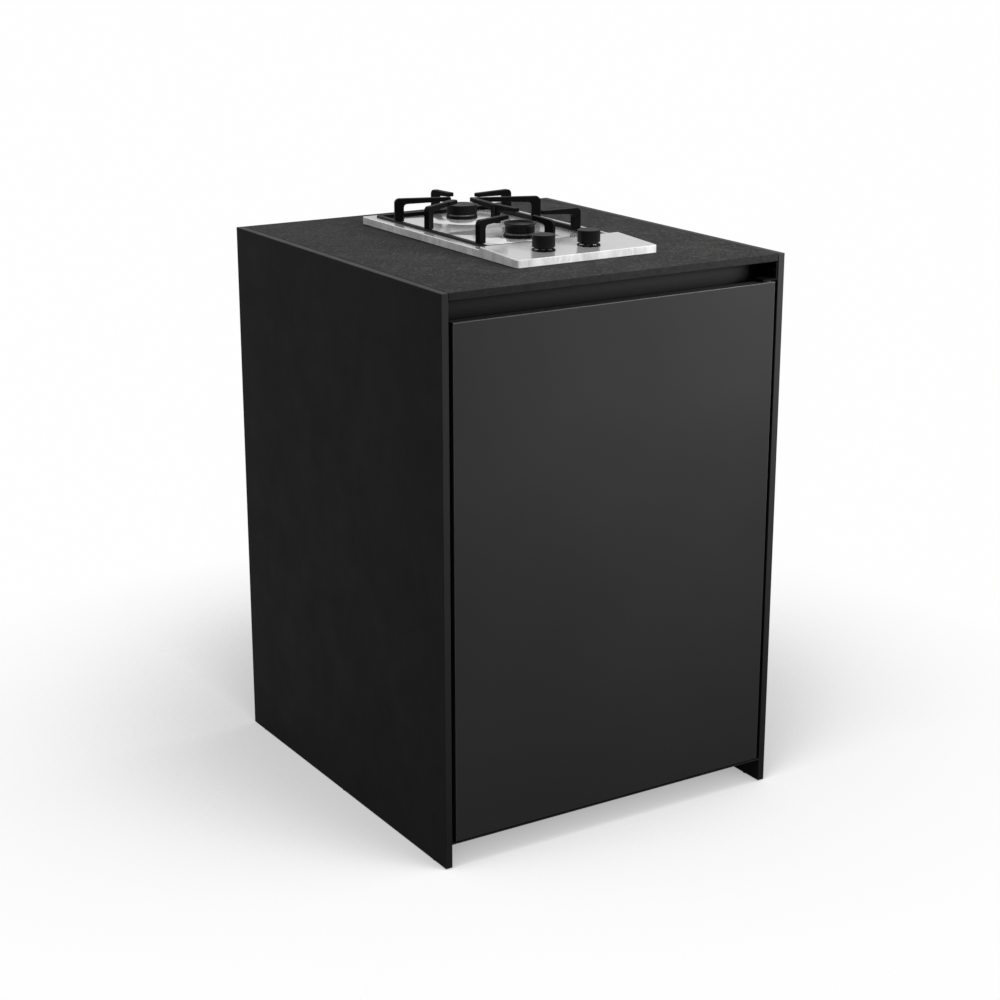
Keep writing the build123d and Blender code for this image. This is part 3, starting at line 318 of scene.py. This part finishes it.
def brushed(name, tone, burners):
    """Brushed steel: fine strokes, blotchy upright folds with drawn streaks whose partly paler tone
    is painted light, and a swell round each burner.
    """
    g = material_graph(name)
    strokes = g.noise(scale=6.0, detail=5.0, rough=0.7, at=g.coords(STROKES))
    broad = g.noise(scale=4.0, detail=4.0, rough=0.5)
    streaks = g.noise(scale=1.0, detail=7.0, rough=0.8, at=g.coords(DRAWN_STREAKS), distort=0.5)
    upright = g.facing("Z", none=0.7, full=0.2)
    color = g.tones(strokes, 0.93 * tone, min(1.0, 1.05 * tone))
    color = g.mix(g.tones(broad, 0.0, 0.12, span=(0.35, 0.75)), color, grey(0.86 * tone))
    # Upright folds: real drawn streaks, and a tone lifted up to 1.2 times the sheet's as painted
    # light on the skirts.
    folds = g.tones(streaks, 0.72 * tone, min(1.0, 1.2 * tone), span=(0.3, 0.6))
    color = g.mix(upright, color, folds)
    shine = g.uneven(strokes, 0.15, 0.21)
    shine = g.combine("ADD", shine, g.combine("MULTIPLY", upright, FOLD_ROUGHER))
    discs = g.discs(burners, SWELL_INNER, SWELL_OUTER)
    swell = g.bump(discs, strength=1.0, depth=SWELL_HEIGHT)
    normal = g.bump(strokes, strength=0.012, depth=0.0003, under=swell)
    return g.shader(color, shine, normal, Metallic=0.7)


def sheet_steel(name, tone):
    """Plain galvanised sheet with a faint spangle."""
    g = material_graph(name)
    spangle = g.cells(scale=90.0)
    color = g.tones(spangle, 0.8 * tone, tone, span=(0.0, 1.0))
    shine = g.uneven(g.noise(scale=60.0, detail=4.0, rough=0.55), 0.35, 0.5)
    normal = g.bump(spangle, strength=0.03, depth=0.0005)
    return g.shader(color, shine, normal, Metallic=1.0)


def cast(name, dark, light, rough, specular=0.15, grain=700.0, relief=0.35):
    """Black enamel over a cast surface: a fine pebbled skin with softly varied gloss."""
    g = material_graph(name)
    skin = g.noise(scale=grain, detail=3.0, rough=0.6)
    swell = g.noise(scale=110.0, detail=3.0, rough=0.5)
    color = g.tones(swell, dark, light)
    waves = g.bump(swell, strength=0.25, depth=0.0006)
    normal = g.bump(skin, strength=relief, depth=0.0003, under=waves)
    return g.shader(color, g.uneven(swell, *rough), normal, Specular_IOR_Level=specular)


MOULDED_UNEVEN = 0.08


def moulded(name, color, rough, specular=0.4):
    """Moulded plastic or rubber: fine texture, slightly uneven gloss."""
    g = material_graph(name)
    texture = g.noise(scale=850.0, detail=3.0, rough=0.55)
    patches = g.noise(scale=40.0, detail=4.0, rough=0.6)
    dark = tuple(0.88 * part for part in color)
    light = tuple(min(1.0, 1.12 * part) for part in color)
    shine = g.uneven(texture, rough - MOULDED_UNEVEN, rough + MOULDED_UNEVEN)
    normal = g.bump(texture, strength=0.15, depth=0.0003)
    return g.shader(g.tones(patches, dark, light), shine, normal, Specular_IOR_Level=specular)


TOOL_MARKS = (30.0, 30.0, 420.0)


def turned_metal(name, color, rough=(0.22, 0.38)):
    """Turned or drawn metal with fine rings of tool marks."""
    g = material_graph(name)
    marks = g.noise(scale=8.0, detail=5.0, rough=0.7, at=g.coords(TOOL_MARKS))
    tone = g.tones(marks, tuple(0.85 * part for part in color), color)
    normal = g.bump(marks, strength=0.08, depth=0.0003)
    return g.shader(tone, g.uneven(marks, *rough), normal, Metallic=1.0)


BOARD_FIBRES = (60.0, 60.0, 3.0)
BOARD_DARK = (0.25, 0.17, 0.1)
BOARD_LIGHT = (0.5, 0.38, 0.25)


def plywood(name):
    """Waterproof board: warm thin layers with a fibrous grain."""
    g = material_graph(name)
    fibres = g.noise(scale=12.0, detail=7.0, rough=0.7, at=g.coords(BOARD_FIBRES))
    color = g.tones(fibres, BOARD_DARK, BOARD_LIGHT, span=(0.25, 0.75))
    normal = g.bump(fibres, strength=0.2, depth=0.0005)
    return g.shader(color, g.remap(fibres, 0.55, 0.75), normal)


def middle(name):
    """The middle of a node's box, seen from above."""
    part = nodes[name]
    corners = [part.matrix_world @ Vector(corner) for corner in part.bound_box]
    return tuple(sum(corner[axis] for corner in corners) / len(corners) for axis in (0, 1))


def heights(name):
    """The lowest and the highest point of a node, in its own frame."""
    levels = [corner[2] for corner in nodes[name].bound_box]
    return min(levels), max(levels)


def dress(material, *names):
    for name in names:
        slots = nodes[name].data.materials
        slots.clear()
        slots.append(material)


def dress_cabinet():
    # The paler front-edge and top tones given here are painted light.
    dress(laminate("side_laminate", dark=0.008, light=0.011, painted_lit_front_edge=0.021, painted_lit_top_edge=0.04,
                   specular=0.09),
          "side_panel_left", "side_panel_right", "base_panel", "shelf")
    # The door's paler edge tone is a painted highlight along its rounded edges.
    dress(coated("door_coating", dark=0.0152, light=0.019, specular=0.3, painted_edge_highlight=0.07),
          "door_skin", "door_back_sheet")
    dress(coated("frame_coating", dark=0.011, light=0.015, specular=0.3),
          "base_tray", "back_panel", "front_rail", "rear_rail", "worktop_cleats")
    # Painted shade: the hinge bracket's coat is darker than the frame's, for the shade at the end
    # of the recess.
    dress(coated("hinge_coating", dark=0.003, light=0.004, specular=0.1), "hinge_bracket")
    dress(recess_coating(*heights("grip_channel")), "grip_channel")
    dress(stone(), "worktop")
    dress(plywood("door_board"), "door_core")
    dress(sheet_steel("ferrite", tone=0.18), "catch_magnet")
    dress(turned_metal("blackened_steel", grey(0.02), rough=(0.45, 0.6)), "cabinet_screws")


def dress_hob():
    burners = [middle("burner_crown_front"), middle("burner_crown_rear")]
    dress(brushed("hob_steel", tone=0.76, burners=burners), "hob_top")
    dress(cast("grate_enamel", dark=0.001, light=0.002, rough=(0.34, 0.48), specular=0.07),
          "grate")
    dress(cast("cap_enamel", dark=0.0015, light=0.003, rough=(0.36, 0.46), grain=900.0,
               relief=0.15),
          "burner_cap_front", "burner_cap_rear")
    dress(cast("cup_casting", dark=0.002, light=0.004, rough=(0.45, 0.6), specular=0.08),
          "burner_cups", "gas_valves")
    dress(turned_metal("crown_alloy", grey(0.4), rough=(0.32, 0.42)),
          "burner_crown_front", "burner_crown_rear")
    dress(moulded("knob_black", (0.0025, 0.0025, 0.0027), rough=0.42, specular=0.14),
          "knob_left", "knob_right")
    dress(moulded("bezel_black", grey(0.002), rough=0.5, specular=0.08), "knob_bezels")
    dress(turned_metal("pipe_alloy", (0.6, 0.6, 0.61)),
          "gas_manifold", "burner_pipe_front", "burner_pipe_rear")
    dress(turned_metal("brass", (0.62, 0.45, 0.2)), "injectors", "inlet_elbow")
    dress(moulded("spark_ceramic", (0.72, 0.71, 0.68), rough=0.25), "igniters")
    dress(moulded("lead_sleeve", (0.35, 0.06, 0.03), rough=0.55), "ignition_leads")


def dress_shared():
    dress(sheet_steel("galvanised", tone=0.55),
          "hob_underbox", "hob_clamps", "corner_brackets", "strike_plate")
    dress(turned_metal("zinc", (0.55, 0.55, 0.56)), "clamp_screws", "shelf_pins")
    dress(turned_metal("spindle_steel", (0.55, 0.55, 0.56)),
          "valve_stem_left", "valve_stem_right", "spring_seat_left", "spring_seat_right",
          "valve_spring_left", "valve_spring_right", "pivot_pins", "thermocouples")
    dress(moulded("rubber", grey(0.012), rough=0.7, specular=0.2),
          "hose_grommet", "door_buffers", "hob_seal", "grate_feet")
    dress(moulded("nylon", grey(0.02), rough=0.5),
          "floor_glides", "pivot_washers", "door_bushes", "magnet_catch", "ignition_module")


# Floor

FLOOR_HALF = 60.0
FLOOR_UNSEEN = 0.12
FLOOR_MIRRORED = 0.3
SHADOW_REACH = 0.9
SHADOW_SAMPLES = 16
SHADOW_WAYS = [((0.0, -0.7, 0.7), 0.7), ((-0.6, -0.3, 0.74), 0.3)]
SHADOW_LEVELS = [(0.0, 0.2), (0.4, 0.48), (0.69, 0.6), (0.77, 0.7),
                 (0.83, 0.83), (0.885, 0.92), (0.99, 0.995)]


def floor_material():
    """White with the object's soft shadow, duller where it lights the object."""
    g = material_graph("floor")
    path = g.add("ShaderNodeLightPath").outputs
    seen = path["Is Camera Ray"]
    mirrored = g.combine("MAXIMUM", path["Is Glossy Ray"], path["Is Transmission Ray"])
    open_share = 0.0
    for way, weight in SHADOW_WAYS:
        aim = g.add("ShaderNodeNormal")
        aim.outputs["Normal"].default_value = way
        hidden = g.add("ShaderNodeAmbientOcclusion", samples=SHADOW_SAMPLES)
        hidden.inputs["Distance"].default_value = SHADOW_REACH
        g.link(aim.outputs["Normal"], hidden.inputs["Normal"])
        part = g.combine("MULTIPLY", hidden.outputs["AO"], weight)
        open_share = g.combine("ADD", open_share, part)
    shown = g.combine("ADD", seen, g.combine("MULTIPLY", mirrored, FLOOR_MIRRORED))
    glow = g.add("ShaderNodeEmission")
    g.feed(g.combine("MULTIPLY", shown, g.ramp(open_share, SHADOW_LEVELS)), glow.inputs["Strength"])
    diffuse = g.add("ShaderNodeBsdfDiffuse")
    g.feed(g.mix(seen, grey(FLOOR_UNSEEN), grey(0.0)), diffuse.inputs["Color"])
    both = g.add("ShaderNodeAddShader")
    g.link(diffuse.outputs["BSDF"], both.inputs[0])
    g.link(glow.outputs["Emission"], both.inputs[1])
    g.link(both.outputs["Shader"], g.output.inputs["Surface"])
    return g.owner


def add_floor():
    mesh = bpy.data.meshes.new("floor")
    corners = [(-1, -1), (1, -1), (1, 1), (-1, 1)]
    points = [(FLOOR_HALF * x, FLOOR_HALF * y, 0.0) for x, y in corners]
    mesh.from_pydata(points, [], [(0, 1, 2, 3)])
    mesh.materials.append(floor_material())
    floor = bpy.data.objects.new("floor", mesh)
    add_to_scene(floor)


# Light

# Brightness of the room against the upward share of a direction: what lights the object,
# and what its glossy surfaces mirror
ROOM_PEAK = 2.4
ROOM_LIT = [(0.25, 0.03), (1.0, 0.66)]
ROOM_MIRRORED = [(0.0, 0.08), (0.1, 0.19), (0.3, 0.35), (0.45, 0.36), (0.6, 0.6), (0.9, 0.32)]
# What is mirrored besides, to both sides along one way and low above the horizon
ROOM_SIDE_WAY = (0.53, -0.85, 0.0)
ROOM_SIDE = [(0.4, 0.0), (0.9, 0.42)]
ROOM_SIDE_HEIGHT = [(0.0, 0.05), (0.3, 0.65), (0.55, 0.0)]


def add_world():
    """A soft room, brighter overhead and, for mirrors, towards the front right and back left."""
    world = bpy.data.worlds.new("room")
    bpy.context.scene.world = world
    g = Graph(world, "ShaderNodeOutputWorld")
    way = g.add("ShaderNodeTexCoord").outputs["Generated"]
    height = g.axis(way, "Z")
    side = g.add("ShaderNodeVectorMath", operation="DOT_PRODUCT")
    g.link(way, side.inputs[0])
    side.inputs[1].default_value = ROOM_SIDE_WAY

    def level(source, stops):
        return g.combine("MULTIPLY", g.ramp(source, stops), ROOM_PEAK)

    either = g.combine("ABSOLUTE", side.outputs["Value"])
    sideways = g.combine("MULTIPLY", level(either, ROOM_SIDE), level(height, ROOM_SIDE_HEIGHT))
    mirrored = g.combine("ADD", level(height, ROOM_MIRRORED), sideways)
    glossy = g.add("ShaderNodeLightPath").outputs["Is Glossy Ray"]
    background = g.add("ShaderNodeBackground")
    g.link(g.choose(glossy, level(height, ROOM_LIT), mirrored), background.inputs["Strength"])
    g.link(background.outputs["Background"], g.output.inputs["Surface"])


def add_lamp(name, place, target, size, watts, spread=180.0):
    """A soft box that lights the object but isn't mirrored in it."""
    data = bpy.data.lights.new(name, "AREA")
    data.shape = "RECTANGLE"
    data.size, data.size_y = size
    data.energy = watts
    data.spread = math.radians(spread)
    lamp = bpy.data.objects.new(name, data)
    lamp.location = place
    lamp.rotation_euler = (Vector(target) - Vector(place)).to_track_quat("-Z", "Y").to_euler()
    lamp.visible_glossy = False
    add_to_scene(lamp)


def add_lights():
    add_world()
    add_lamp("key", place=(0.95, -1.6, 1.3), target=(0.3, -0.34, 0.95), size=(0.9, 0.5),
             watts=9.6, spread=58.0)
    add_lamp("rim", place=(1.6, 2.6, 3.2), target=(0.0, 0.1, 0.9), size=(2.5, 1.2), watts=20.0)


bpy.context.scene.view_settings.view_transform = "Standard"
add_camera()
dress_cabinet()
dress_hob()
dress_shared()
add_floor()
add_lights()
